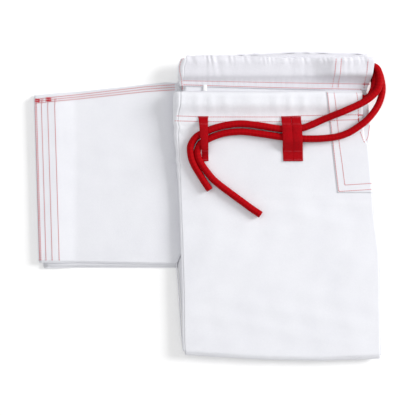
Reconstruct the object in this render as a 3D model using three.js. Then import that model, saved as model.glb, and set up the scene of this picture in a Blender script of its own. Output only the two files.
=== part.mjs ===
// Martial arts trousers, folded flat for storage: drill cotton trousers with a red drawcord and red belt
// loops. The pair is doubled along its centre line, turned under at the knee, and turned again at the
// calf so that both cuffs point to the left. Units are millimetres, +Z is up, and the bundle rests on
// z = 0. +X points to the wearer's outer hip, +Y to the waist, and the origin is under the middle.
//
// Three stacks of cloth lie on each other: the hip section on top, the shin section folded under it,
// and the cuff section folded under that. Each stack has a left front, a left back, a right back and a
// right front layer. Heights change along one direction only, so that the layers never meet.
import * as THREE from "three";

// ---- Driving dimensions ----------------------------------------------------------------------

const CLOTH = 0.8; // trouser cloth
const TURNED_CLOTH = 0.6; // pressed inner turnings: casings and hems
const PATCH_CLOTH = 0.5; // hip patches, gussets and size tag
const TAPE_CLOTH = 1; // belt loops
const GAP = 0.4; // air between two layers

const FOLD_X = -36; // the pair's centre line, folded, at the left of the hip section
const SIDE_X = 212; // outer side of the legs, at the right
const KNEE_Y = -198.5; // knee fold, at the bottom
const FRONT_WAIST_Y = 147.5; // top edge of the fronts
const BACK_WAIST_Y = 190; // top edge of the backs
const FAR_SHIFT_Y = 6; // how far the right back shows above the left back
const CUFF_X = -223; // hem edge of the cuffs
const CALF_START = new THREE.Vector2(-37, 162); // calf fold, at the inseam
const CALF_END = new THREE.Vector2(223, -76.2); // calf fold, at the outer side
const FOLD_CLEAR = 0.4; // between a cloth edge and the fold it turns round

const CORD_DIAMETER = 8.8; // round where it lies free
const CORD_FLAT = 5.6; // pressed flat inside a casing
const CORD_WIDE = 11;
const CORD_PITCH = 11.6; // between the two strands in a back casing
const CORD_SIDES = 10;
const CORD_JOIN = 0.3; // between two lengths of the same cord
const FRONT_CASING = { low: 107, cord: 130.5, top: FRONT_WAIST_Y };
const BACK_CASING = { low: 154, cord: 175, top: BACK_WAIST_Y };

const HEM_DEPTH = 28;
const PATCH = { width: 34, low: 31 };
const GUSSET = { low: 83, top: 106 };
const LOOP_WIDTH = 12.2;
const LOOP_TOP = 115;
const LOOP_LOW = 58;
const LOOP_ROOM = CORD_DIAMETER + 2 * GAP; // under a loop that holds the cord
const INNER_LOOP_X = -5.6;
const OUTER_LOOP_X = 106.4; // middle of the double loop
const LOOP_LEAN = 3; // sideways run of a loop from top to bottom
const INNER_LOOP_LOW_WIDTH = 7.6; // the inner loop is drawn in at its lower end
const TAG = { x: -5.8, width: 5.2, low: 146.2, top: 153.6 };

// ---- Heights of the cloth --------------------------------------------------------------------

const PITCH = CLOTH + GAP;
const STACK = 4 * PITCH;
const SHIN_BASE = STACK;
const HIP_BASE = 2 * STACK + GAP + TAPE_CLOTH; // leaves room for the right half's loops
const TURNING = TURNED_CLOTH + GAP;
const STRAND = CORD_FLAT + GAP;

// The value at t on a broken line of [t, value] points, straight between them.
function along(points, t) {
  const later = points.findIndex(([at]) => t <= at);
  if (later === 0) return points[0][1];
  if (later < 0) return points.at(-1)[1];
  const [t0, v0] = points[later - 1];
  const [t1, v1] = points[later];
  return v0 + ((v1 - v0) * (t - t0)) / (t1 - t0);
}

// Each of these is a share between 0 and 1 of a lift, by height up the hip section.
const WAIST_RISE = [[8, 0], [100, 1]];
const TURNING_RISE = [[102, 0], [106, 1]];
const FRONT_BULGE = [[113, 0], [119, 1], [143.5, 1], [147.5, 0.2]];
const BACK_BULGE = [[157.5, 0], [162.7, 1], [187, 1], [191, 0.4], [198, 0.4]];

// The right casings hold the waist up, by the thickness of their strand and their turning.
const leftBack = (y) => HIP_BASE + 2 * PITCH + (TURNING + STRAND) * along(WAIST_RISE, y);
const rightBack = (y) => leftBack(y) - PITCH;
const overLeftBack = (y) => leftBack(y) + PITCH;
const leftFront = (y) =>
  overLeftBack(y) + TURNING * along(TURNING_RISE, y) + STRAND * along(FRONT_BULGE, y);
const rightFront = () => HIP_BASE;
const leftFrontTop = (y) => leftFront(y) + CLOTH;

// ---- Making cloth ----------------------------------------------------------------------------

const fabric = (color, roughness) => new THREE.MeshStandardMaterial({ color, roughness, metalness: 0 });
const trousers = new THREE.Group();

function add(name, geometry, color, roughness = 0.9) {
  const mesh = new THREE.Mesh(geometry, fabric(color, roughness));
  mesh.name = name;
  trousers.add(mesh);
}

const WHITE = 0xf1f1f4;
const INSIDE_WHITE = 0xe9e9ee;
const TAPE_RED = 0xc4101c;
const CORD_RED = 0xb00a14;

// A sheet of cloth in rows. from and to give its two side edges at each row, start and finish bend
// its first and last row, and under gives the height of its lower face.
function sheet({ rows, from, to, start, finish, under, thickness, columns = 5, alongX = false }) {
  const last = rows.length - 1;
  const geometry = new THREE.BoxGeometry(1, 1, 1, columns, last, 1);
  const place = geometry.attributes.position;
  for (let i = 0; i < place.count; i += 1) {
    const across = place.getX(i) + 0.5;
    const row = Math.round((place.getY(i) + 0.5) * last);
    let t = rows[row];
    if (row === 0 && start) t = start(across);
    if (row === last && finish) t = finish(across);
    const side = THREE.MathUtils.lerp(from(t), to(t), across);
    const z = under(t, side) + (place.getZ(i) > 0 ? thickness : 0);
    place.setXYZ(i, alongX ? t : side, alongX ? side : t, z);
  }
  return geometry;
}

// ---- Hip section: panels ---------------------------------------------------------------------

// How far the folded edges stand from FOLD_X and SIDE_X at each height.
const CENTRE_FRONT = [[-191, 5.5], [-171, 4], [-115, 3.4], [-70, 2.1], [-2, 0], [32, -1.8], [80, -5.6], [114, -8], [140, -7.5], [148, -6]];
const CENTRE_BACK = [[-191, 6.5], [-115, 4.4], [-2, 3], [32, 3.5], [148, 4.5], [198, 7.5]];
const OUTER_SIDE = [[-196, 10], [-154, 9.6], [-86, 8.8], [-61, 8], [-41, 5.7], [-13, 1.9], [30, -1.4], [47, -2.7], [80, -6]];
const FRONT_SLIT = [...OUTER_SIDE, [84, -11], [120, -13.5], [132, -15], [148, -12.5]];
const BACK_SLIT = [...OUTER_SIDE, [105, -4.5], [130, -6], [150, -9], [160, -4.6], [170, -2.7], [187, -0.4]];

const centreFront = (y) => FOLD_X + along(CENTRE_FRONT, y);
const centreBack = (y) => FOLD_X + along(CENTRE_BACK, y);
const frontSide = (y) => SIDE_X + along(FRONT_SLIT, y);
const backSide = (y) => SIDE_X + along(BACK_SLIT, y);
const rightBackSide = (y) => backSide(y) - along([[130, 0], [160, 6]], y);

const KNEE_EDGE = [[0, 7.8], [0.2, 4.5], [0.4, 1.7], [0.7, FOLD_CLEAR], [1, 2.9]];
const kneeEdge = (across) => KNEE_Y + along(KNEE_EDGE, across);
const leftBackWaist = (across) => BACK_WAIST_Y + along([[0, 1], [0.25, 0], [0.5, -2], [0.8, -0.5], [1, -2]], across);
const rightBackWaist = (across) => BACK_WAIST_Y + FAR_SHIFT_Y + along([[0, -3], [0.5, 1.7], [0.8, 0.5], [1, -1]], across);

const LOW_ROWS = [KNEE_Y, -180, -154, -115, -86, -61, -41, -13, 8, 32, 47, 80, 84, 100];
const FRONT_ROWS = [...LOW_ROWS, 102, 106, 113, 119, 132, 143.5, FRONT_WAIST_Y];
const BACK_ROWS = [...LOW_ROWS, 105, 130, 150, 160, 170, BACK_WAIST_Y];

const panel = (rows, from, to, finish, under) =>
  sheet({ rows, from, to, start: kneeEdge, finish, under, thickness: CLOTH });
add("left_front_hip_panel", panel(FRONT_ROWS, centreFront, frontSide, undefined, leftFront), WHITE);
add("left_back_hip_panel", panel(BACK_ROWS, centreBack, backSide, leftBackWaist, leftBack), WHITE);
add("right_back_hip_panel", panel(BACK_ROWS, centreBack, rightBackSide, rightBackWaist, rightBack), WHITE);
add("right_front_hip_panel", panel(FRONT_ROWS, centreFront, frontSide, undefined, rightFront), WHITE);

// ---- Hip section: waist casings --------------------------------------------------------------

// The turned edge of each panel, on its inner side. The cord runs between the panel and the turning.
const FRONT_STRIP_ROWS = [FRONT_CASING.low, 113, 119, 132, 143.5, FRONT_CASING.top - 2];
const frontStrip = (under) =>
  sheet({ rows: FRONT_STRIP_ROWS, from: () => FOLD_X + 3.6, to: (y) => frontSide(y) - 2, under, thickness: TURNED_CLOTH });
const overRightFront = HIP_BASE + PITCH;
add("left_front_casing", frontStrip(overLeftBack), INSIDE_WHITE);
add("right_front_casing", frontStrip((y) => overRightFront + STRAND * along(FRONT_BULGE, y)), INSIDE_WHITE);

// The left back turning is the top layer. Near the hip it also covers the place where its two
// strands change over.
const TURN_CORNER = [[150, 2.5], [158, 1.5], [166, -0.5], [178, -0.5], [186, 2], [190, 6], [198, 9]];
const turnCorner = (y) => FOLD_X + along(TURN_CORNER, y);
const CHANGE_OVER_COVER = [[135, 0], [160, 9.5]];
const BACK_STRIP_ROWS = [BACK_CASING.low, 157.5, 162.7, 170, 178, 184, 187, BACK_CASING.top];
const leftTurning = (y, x) => {
  const bulge = along(BACK_BULGE, y);
  return overLeftBack(y) + (STRAND + along(CHANGE_OVER_COVER, x)) * bulge;
};
const rightTurning = (y) => rightBack(y) - TURNING - STRAND * along(BACK_BULGE, y);
const backStrip = (to, finish, under) =>
  sheet({ rows: BACK_STRIP_ROWS, from: turnCorner, to, finish, under, thickness: TURNED_CLOTH, columns: 12 });
add("left_back_casing", backStrip(backSide, leftBackWaist, leftTurning), INSIDE_WHITE);
add("right_back_casing", backStrip(rightBackSide, rightBackWaist, rightTurning), INSIDE_WHITE);

// ---- Hip section: patches, gussets and size tag ----------------------------------------------

// A patch doubles each front along its hip slit, on the outer side.
const PATCH_ROWS = [PATCH.low, 47, 80, 84, 100, 102, 106, 113, 119, 132, 143.5, FRONT_WAIST_Y - 1];
const patchRight = (y) => frontSide(y) - 1.5;
const patchLeft = (y) => SIDE_X - 15 - PATCH.width + 0.13 * (FRONT_WAIST_Y - y);
const patch = (under) =>
  sheet({ rows: PATCH_ROWS, from: patchLeft, to: patchRight, under, thickness: PATCH_CLOTH, columns: 2 });
add("left_hip_patch", patch((y) => leftFrontTop(y) + GAP), WHITE);
add("right_hip_patch", patch(() => HIP_BASE - GAP - PATCH_CLOTH), WHITE);

// A gusset closes the bottom of each slit. It lies on the inner side of the back panel.
const GUSSET_ROWS = [GUSSET.low, 84, 100, GUSSET.top];
const gusset = (to, under) =>
  sheet({ rows: GUSSET_ROWS, from: (y) => frontSide(y) + 0.6, to, under, thickness: PATCH_CLOTH, columns: 2 });
add("left_hip_gusset", gusset((y) => backSide(y) - 0.3, overLeftBack), WHITE);
add("right_hip_gusset", gusset((y) => rightBackSide(y) - 0.3, (y) => rightBack(y) - GAP - PATCH_CLOTH), WHITE);

const tagRight = () => TAG.x + TAG.width;
const tag = sheet({ rows: [TAG.low, TAG.top], from: () => TAG.x, to: tagRight, under: overLeftBack, thickness: PATCH_CLOTH, columns: 1 });
add("size_tag_blank", tag, WHITE);

// ---- Hip section: belt loops -----------------------------------------------------------------

// Two tapes side by side make the outer loop, and one makes the inner loop. The left ones stand over
// the cord's two free ends, and the right ones lie flat under the bundle.
const OUTER_ARCH = [[71, 0], [83.5, 1], [102.8, 1], [109, 0]];
const INNER_ARCH = [[66, 0], [74, 1], [102.8, 1], [109, 0]];
const loopHeights = (arch) => {
  const bends = [...arch.map(([y]) => y), 84, 100, 102, 106, 113];
  return [LOOP_LOW, ...bends.sort((a, b) => a - b), LOOP_TOP];
};
function beltLoop(middleX, lowWidth, arch, under) {
  const half = (y) => along([[LOOP_LOW, lowWidth / 2], [LOOP_TOP, LOOP_WIDTH / 2]], y);
  const middle = (y) => middleX + (LOOP_LEAN * (LOOP_TOP - y)) / (LOOP_TOP - LOOP_LOW);
  const from = (y) => middle(y) - half(y);
  const to = (y) => middle(y) + half(y);
  return sheet({ rows: loopHeights(arch), from, to, under, thickness: TAPE_CLOTH, columns: 1 });
}
const LOOPS = [
  ["inner_loop", INNER_LOOP_X, INNER_LOOP_LOW_WIDTH, INNER_ARCH],
  ["outer_loop_a", OUTER_LOOP_X - (LOOP_WIDTH + GAP) / 2, LOOP_WIDTH, OUTER_ARCH],
  ["outer_loop_b", OUTER_LOOP_X + (LOOP_WIDTH + GAP) / 2, LOOP_WIDTH, OUTER_ARCH],
];
for (const [name, x, lowWidth, arch] of LOOPS) {
  const over = (y) => leftFrontTop(y) + GAP + LOOP_ROOM * along(arch, y);
  add(`left_${name}`, beltLoop(x, lowWidth, arch, over), TAPE_RED, 0.8);
  add(`right_${name}`, beltLoop(x, LOOP_WIDTH, arch, () => HIP_BASE - GAP - TAPE_CLOTH), TAPE_RED, 0.8);
}

// ---- Drawcord --------------------------------------------------------------------------------

// One cord runs twice through the back casings and once through the front ones. It crosses from
// back to front at each hip, and one end comes out at each hip.

// A pressed run goes out through the right half's casing, round the centre fold, and back through
// the left half's. lie gives the sideways place and the lift of the run at each x of the left half.
const BEND_STEPS = 8;
const LEFT_STEPS = 24;
function pressedRun({ turnX, low, high, leftEnd, rightEnd, lie }) {
  const reach = (high - low) / 2;
  const stations = [];
  for (const share of [0, 0.25, 0.5, 0.75]) {
    stations.push({ x: THREE.MathUtils.lerp(rightEnd, turnX, share), z: low, left: false });
  }
  for (let i = 0; i <= BEND_STEPS; i += 1) {
    const turn = (Math.PI * i) / BEND_STEPS;
    const z = low + reach - reach * Math.cos(turn);
    stations.push({ x: turnX - reach * Math.sin(turn), z, left: false });
  }
  for (let i = 1; i <= LEFT_STEPS; i += 1) {
    stations.push({ x: THREE.MathUtils.lerp(turnX, leftEnd, i / LEFT_STEPS), z: high, left: true });
  }

  const last = stations.length - 1;
  const geometry = new THREE.CylinderGeometry(1, 1, 1, CORD_SIDES, last);
  const place = geometry.attributes.position;
  for (let i = 0; i < place.count; i += 1) {
    const row = Math.round((0.5 - place.getY(i)) * last);
    const here = stations[row];
    const before = stations[Math.max(row - 1, 0)];
    const after = stations[Math.min(row + 1, last)];
    const length = Math.hypot(after.x - before.x, after.z - before.z);
    const outX = (before.z - after.z) / length;
    const outZ = (after.x - before.x) / length;
    const thick = (place.getZ(i) * CORD_FLAT) / 2;
    const { y, lift } = lie(here.left ? here.x : turnX);
    const x = here.x + thick * outX;
    place.setXYZ(i, x, y + (place.getX(i) * CORD_WIDE) / 2, here.z + thick * outZ + lift);
  }
  return geometry;
}

const backZ = { low: rightBack(BACK_CASING.cord) - GAP - CORD_FLAT / 2, high: overLeftBack(BACK_CASING.cord) + CORD_FLAT / 2 };
const frontZ = { low: overRightFront + CORD_FLAT / 2, high: overLeftBack(FRONT_CASING.cord) + TURNING + CORD_FLAT / 2 };
const upperY = BACK_CASING.cord + CORD_PITCH / 2;
const lowerY = BACK_CASING.cord - CORD_PITCH / 2;
const BACK_TURN_X = FOLD_X + 6.2;
const FRONT_TURN_X = FOLD_X + 2.8;
const BACK_RIGHT_END = SIDE_X - 6.4;
const BACK_LEFT_END = SIDE_X - 5;
const FRONT_END = SIDE_X - 13.3;

// Near the left hip the lower strand climbs over the upper one, and they change places.
const END_LIFT = 1.6; // the strands rise as they get round again
const LOWER_Y = [[174, lowerY], [202, 177.8]];
const UPPER_Y = [[174, upperY], [202, 170.2]];
const LOWER_LIFT = [[146, 0], [170, STRAND], [190, STRAND], [202, STRAND + END_LIFT]];
const UPPER_LIFT = [[190, 0], [202, END_LIFT]];
const backRun = (places, lifts) =>
  pressedRun({ turnX: BACK_TURN_X, ...backZ, leftEnd: BACK_LEFT_END, rightEnd: BACK_RIGHT_END, lie: (x) => ({ y: along(places, x), lift: along(lifts, x) }) });
add("cord_back_lower_run", backRun(LOWER_Y, LOWER_LIFT), CORD_RED, 0.75);
add("cord_back_upper_run", backRun(UPPER_Y, UPPER_LIFT), CORD_RED, 0.75);

const FRONT_Y = [[165, FRONT_CASING.cord], [190, 137]];
const frontRun = pressedRun({ turnX: FRONT_TURN_X, ...frontZ, leftEnd: FRONT_END, rightEnd: FRONT_END, lie: (x) => ({ y: along(FRONT_Y, x), lift: 0 }) });
add("cord_front_run", frontRun, CORD_RED, 0.75);

// Free lengths, as places of the cord's centre line.
const cordSection = new THREE.Shape(
  Array.from({ length: CORD_SIDES }, (_, i) => {
    const turn = ((i + 0.5) / CORD_SIDES) * 2 * Math.PI;
    return new THREE.Vector2(Math.cos(turn), Math.sin(turn)).multiplyScalar(CORD_DIAMETER / 2);
  }),
);
function freeCord(name, route, steps) {
  const points = route.map(([x, y, z]) => new THREE.Vector3(x, y, z));
  const extrudePath = new THREE.CatmullRomCurve3(points, false, "centripetal");
  add(name, new THREE.ExtrudeGeometry(cordSection, { extrudePath, steps, bevelEnabled: false }), CORD_RED, 0.75);
}

const exitX = BACK_LEFT_END + CORD_JOIN;
const rightExitX = BACK_RIGHT_END + CORD_JOIN;
const frontExitX = FRONT_END + CORD_JOIN;
const LEFT_END_ROUTE = [
  [exitX, 177.8, 32.3], [exitX + 2.5, 177.8, 32.4], [214, 175.8, 33], [217, 170.6, 33.5], [218.2, 164, 33.9], [217.9, 156, 34.2],
  [215.6, 148.2, 34.6], [207.7, 139.3, 35.3], [197.2, 132, 35.6], [184.2, 125.6, 35.6], [171.1, 119.9, 35.8],
  [158.1, 114.9, 32.6], [145, 109.6, 29.1], [132, 103.8, 28.3], [119.5, 99.6, 27.5], [95.4, 98.6, 27.4],
  [68, 102.6, 28], [41.6, 105.3, 28.5], [20, 102.6, 28.2], [3.2, 97.7, 27.4], [-12.2, 90.2, 26.8],
  [-18.2, 84.3, 26.3], [-21.7, 76.5, 25.8], [-21.7, 67.7, 25.1], [-19.7, 59, 24.4], [-15.6, 50.2, 23.7],
  [-10.2, 41.3, 23], [-5.4, 33.5, 22.4], [2.9, 21.2, 21.5],
];
const RIGHT_END_ROUTE = [
  [rightExitX, 180.8, 15.6], [rightExitX + 2.5, 180.8, 15.6], [214.2, 178.8, 16.1], [219.4, 171.8, 17.2], [222.3, 161.5, 18.6],
  [223.4, 150.4, 20.5], [221.6, 140, 22.6], [217.5, 129.5, 25], [210.3, 118.6, 27.4], [201.2, 108.7, 29.1],
  [190.7, 100.7, 28.6], [178.9, 93.6, 28], [165.9, 89.1, 27.6], [151.6, 87, 26.8], [135.9, 86.2, 26.4],
  [119.5, 86.4, 26.4], [95.4, 88.4, 26.6], [68, 92.4, 27], [41.6, 95.2, 27.1], [20, 92.8, 26.9],
  [3.2, 86.9, 26.4], [-9.2, 79.4, 25.9], [-12.8, 70.6, 25.2], [-11.4, 61.6, 24.7], [-7.2, 53.2, 24.3],
  [-0.7, 44.1, 23.4], [6.4, 35.4, 22.5], [14.2, 28.5, 22], [27, 18.8, 21.3], [41.6, 8.1, 20.6],
  [56.3, -2.7, 20.3], [68.1, -10.6, 20.3],
];
const LEFT_TURN_ROUTE = [
  [exitX, 170.2, 26.1], [exitX + 1.5, 170.2, 26.2], [212, 167.6, 26.3], [213.9, 161.8, 26.3], [212.2, 153.6, 26.3],
  [209.6, 145.8, 26.2], [205.6, 139.8, 26.1], [frontExitX + 1.5, 137.4, 26], [frontExitX, 137.4, 26],
];
const RIGHT_TURN_ROUTE = [
  [rightExitX, 169.2, 15.6], [rightExitX + 1.5, 169.2, 15.6], [211, 166.6, 15], [213.4, 159.5, 14.7], [212.2, 149, 14.5],
  [207.4, 140.6, 14.5], [frontExitX + 1.5, 137.2, 14.5], [frontExitX, 137.2, 14.5],
];
freeCord("left_cord_end", LEFT_END_ROUTE, 60);
freeCord("right_cord_end", RIGHT_END_ROUTE, 70);
freeCord("left_hip_turn", LEFT_TURN_ROUTE, 14);
freeCord("right_hip_turn", RIGHT_TURN_ROUTE, 14);

// ---- Shin section ----------------------------------------------------------------------------

// The part between the knee fold and the calf fold, four flat layers.
const calfWay = CALF_END.clone().sub(CALF_START).normalize();
const calfBack = new THREE.Vector2(calfWay.y, -calfWay.x).multiplyScalar(FOLD_CLEAR); // away from the hip
const calfStart = CALF_START.clone().add(calfBack);
const calfEnd = CALF_END.clone().add(calfBack);
const calfEdge = (x) => along([[calfStart.x, calfStart.y], [calfEnd.x, calfEnd.y]], x);

const SHIN_LEFT = [[-34.5, 155], [-34, -60], [-39.6, -74], [-36.7, -109], [-34.8, -141], [-33.4, -161]];
const shinKnee = KNEE_EDGE.map(([across, rise]) => [THREE.MathUtils.lerp(-31.5, 219, across), KNEE_Y + rise]);
function shinLayer(inset) {
  const outline = [...SHIN_LEFT.map(([x, y]) => [x + inset, y]), ...shinKnee, [220 - inset, -154], [calfEnd.x - 1.5, calfEnd.y]];
  const shape = new THREE.Shape(outline.map(([x, y]) => new THREE.Vector2(x, y)));
  return new THREE.ExtrudeGeometry(shape, { depth: CLOTH, bevelEnabled: false });
}
const SHIN_LAYERS = [["left_front_shin", 0], ["left_back_shin", 1.5], ["right_back_shin", 1.5], ["right_front_shin", 0.5]];
SHIN_LAYERS.forEach(([name, inset], i) => {
  add(name, shinLayer(inset).translate(0, 0, SHIN_BASE + i * PITCH), WHITE);
});

// ---- Cuff section ----------------------------------------------------------------------------

// The part past the calf fold, which runs from the fold to the cuffs. Turned hems lie inside each leg.
const INSEAM_EDGE = [[CUFF_X, 140.2], [-170, 147.2], [-54, 163.5], [calfStart.x, calfStart.y]];
const CUFF_RISE = [[CUFF_X + HEM_DEPTH + 1, 1], [-170, 0]];
const CUFF_ROWS = [CUFF_X, CUFF_X + HEM_DEPTH + 1, -170, -54, calfStart.x, 40, 130, calfEnd.x - 8];
const HEM_ROWS = [CUFF_X, CUFF_X + HEM_DEPTH];
const LEG_LOW = { left: [[CUFF_X, -71], [-39, -75], [SIDE_X, -77]], right: [[CUFF_X, -76], [-176, -78.4], [SIDE_X, -78]] };

const upperEdge = (rise) => (x) => (x < calfStart.x ? along(INSEAM_EDGE, x) + rise : calfEdge(x));
const hemSlant = (across) => CUFF_X + 6.4 * across;
function cuffLayer(leg, rows, under, thickness, inset) {
  const from = (x) => upperEdge(leg === "left" ? 0 : 2 * along(CUFF_RISE, x))(x) - inset;
  const to = (x) => along(LEG_LOW[leg], x) + inset;
  return sheet({ rows, from, to, start: (across) => hemSlant(across) + inset, under, thickness, columns: 2, alongX: true });
}
const cuffLift = (hems, x) => hems * TURNING * along(CUFF_RISE, x);
const CUFF_LAYERS = [["right_front_cuff", "right", 0], ["right_back_cuff", "right", 2], ["left_back_cuff", "left", 2], ["left_front_cuff", "left", 4]];
CUFF_LAYERS.forEach(([name, leg, hems], i) => {
  add(name, cuffLayer(leg, CUFF_ROWS, (x) => i * PITCH + cuffLift(hems, x), CLOTH, 0), WHITE);
});
const HEMS = [["right_front_hem", "right", PITCH], ["right_back_hem", "right", PITCH + TURNING], ["left_back_hem", "left", 3 * PITCH + 2 * TURNING], ["left_front_hem", "left", 3 * PITCH + 3 * TURNING]];
for (const [name, leg, z] of HEMS) {
  add(name, cuffLayer(leg, HEM_ROWS, () => z, TURNED_CLOTH, 1), INSIDE_WHITE);
}

export default trousers;
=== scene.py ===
"""Martial arts trousers of white cotton drill with a red drawcord, folded in half along the centre
and then in three, lying flat. Lengths are in millimetres up to the point where a mesh is made."""

import math

import bmesh
import bpy
from mathutils import Matrix, Vector


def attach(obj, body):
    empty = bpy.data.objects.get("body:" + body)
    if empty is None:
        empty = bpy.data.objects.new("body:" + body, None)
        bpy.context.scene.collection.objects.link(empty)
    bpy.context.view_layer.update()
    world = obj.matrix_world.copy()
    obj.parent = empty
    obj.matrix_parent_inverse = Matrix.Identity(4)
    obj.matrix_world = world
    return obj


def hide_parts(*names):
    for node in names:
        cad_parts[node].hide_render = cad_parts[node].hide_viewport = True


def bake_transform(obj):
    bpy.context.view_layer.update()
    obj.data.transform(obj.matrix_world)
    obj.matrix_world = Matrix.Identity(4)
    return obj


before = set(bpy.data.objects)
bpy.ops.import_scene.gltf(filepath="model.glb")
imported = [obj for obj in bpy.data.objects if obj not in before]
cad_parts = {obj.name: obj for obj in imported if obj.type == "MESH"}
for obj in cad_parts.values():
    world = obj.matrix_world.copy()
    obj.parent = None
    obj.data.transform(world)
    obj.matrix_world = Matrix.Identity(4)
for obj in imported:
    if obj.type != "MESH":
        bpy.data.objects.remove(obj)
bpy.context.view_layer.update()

# ---- Camera ----
# Straight above the folded trousers, with a long lens, waist to the right and cuffs to the left.

camera = bpy.data.objects.new("camera", bpy.data.cameras.new("camera"))
camera.data.lens = 107
camera.data.sensor_width = 36
camera.data.dof.use_dof = False
camera.location = (0.0006, -0.0019, 1.6)
bpy.context.scene.collection.objects.link(camera)
bpy.context.scene.camera = camera

# ---- Drawcord: free lengths ----
# Round braided cord, 8.8 mm. One end comes out at each hip, passes under the belt loops and is cut
# off bare. At each hip the cord also goes round from the back casing into the front one.

MM = 0.001
CORD_DIAMETER = 8.8
CORD_STEP = 1.1  # between the rings of its mesh
PATH_EVERY = 8  # rings between the points of its path
BRAID_ROUND = 8  # strands of the braid round the cord
BRAID_STEP = 0.25  # and along it, to each ring
CUT_END = (0.0, 0.62, 0.93)  # the shares of its width at the rings that close an end
PRESSED_WIDE = 11
PRESSED_THICK = 5.6
PRESSED_OVER = 4  # rings over which it is pressed from round to flat
PRESSED_RINGS = 8


class Value:
    """A number that varies over a material, so that it can be used in ordinary sums."""

    def __init__(self, shading, socket):
        self.shading = shading
        self.socket = socket

    def maths(self, operation, *others):
        inputs = dict(enumerate([self, *others]))
        node = self.shading.node("ShaderNodeMath", {"operation": operation}, inputs)
        return Value(self.shading, node.outputs[0])

    def __add__(self, other):
        return self.maths("ADD", other)

    def __mul__(self, other):
        return self.maths("MULTIPLY", other)

    def __sub__(self, other):
        return self.maths("SUBTRACT", other)

    def __rsub__(self, other):
        return self * -1 + other

    __radd__ = __add__
    __rmul__ = __mul__

    def wave(self, pitch):
        return (self * (2 * math.pi / pitch)).maths("SINE")


class Shading:
    """One material and its nodes."""

    def __init__(self, name, **plain):
        self.material = bpy.data.materials.new(name)
        self.material.use_nodes = True
        self.tree = self.material.node_tree
        self.surface = self.tree.nodes["Principled BSDF"]
        for key, value in plain.items():
            self.set(key.replace("_", " "), value)

    def node(self, kind, settings, inputs):
        node = self.tree.nodes.new(kind)
        for key, value in settings.items():
            setattr(node, key, value)
        for key, value in inputs.items():
            self.feed(node.inputs[key], value)
        return node

    def feed(self, socket, value):
        if isinstance(value, Value):
            value = value.socket
        if isinstance(value, bpy.types.NodeSocket):
            self.tree.links.new(value, socket)
        else:
            socket.default_value = value

    def set(self, name, value):
        self.feed(self.surface.inputs[name], value)

    def place(self, output="Object"):
        return self.node("ShaderNodeTexCoord", {}, {}).outputs[output]

    def across(self, place):
        node = self.node("ShaderNodeSeparateXYZ", {}, {0: place})
        return [Value(self, socket) for socket in node.outputs]

    def noise(self, place, scale, detail=2.0):
        inputs = {"Vector": place, "Scale": scale, "Detail": detail}
        return Value(self, self.node("ShaderNodeTexNoise", {}, inputs).outputs[0])

    def colour(self, amount, low, high):
        inputs = {0: amount, 6: (*low, 1), 7: (*high, 1)}
        node = self.node("ShaderNodeMix", {"data_type": "RGBA"}, inputs)
        self.set("Base Color", node.outputs[2])

    def relief(self, height, depth):
        inputs = {"Height": height, "Distance": depth, "Strength": 1.0}
        self.set("Normal", self.node("ShaderNodeBump", {}, inputs).outputs[0])


braid = Shading("red_cord", Specular_IOR_Level=0.05)
braid_u, braid_v, _ = braid.across(braid.place("UV"))
strands = (braid_u + braid_v).wave(2.0) * (braid_u - braid_v).wave(2.0)
braid_fuzz = braid.noise(braid.place(), 700.0, 4.0)
braid.colour(strands * 0.25 + braid_fuzz * 0.75, (0.27, 0.0004, 0.002), (0.50, 0.0008, 0.006))
braid.set("Roughness", braid_fuzz * 0.25 + 0.5)
braid.relief(strands * 0.5 + braid_fuzz * 0.8, 0.00022)
red_cord = braid.material


def piece(name, columns, rows, place, material, thickness=0.0, flat=(1.0, 1.0)):
    """A grid of cloth or cord: place gives where each share of its width and length lies."""
    mesh = bpy.data.meshes.new(f"soft_{name}")
    grid = bmesh.new()
    weave = grid.loops.layers.uv.new("weave")
    bmesh.ops.create_grid(grid, x_segments=columns, y_segments=rows, size=0.5)
    for face in grid.faces:
        face.smooth = True
        for loop in face.loops:
            u, v = loop.vert.co.x + 0.5, loop.vert.co.y + 0.5
            loop[weave].uv = (u * flat[0], v * flat[1])
    for vert in grid.verts:
        vert.co = Vector(place(vert.co.x + 0.5, vert.co.y + 0.5)) * MM
    bmesh.ops.remove_doubles(grid, verts=grid.verts, dist=1e-6)
    bmesh.ops.recalc_face_normals(grid, faces=grid.faces)
    grid.to_mesh(mesh)
    grid.free()
    mesh.materials.append(material)
    thing = bpy.data.objects.new(f"soft_{name}", mesh)
    bpy.context.scene.collection.objects.link(thing)
    if thickness:
        solid = thing.modifiers.new("thickness", "SOLIDIFY")
        solid.thickness = thickness * MM
        solid.offset = 0
    return thing


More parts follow.
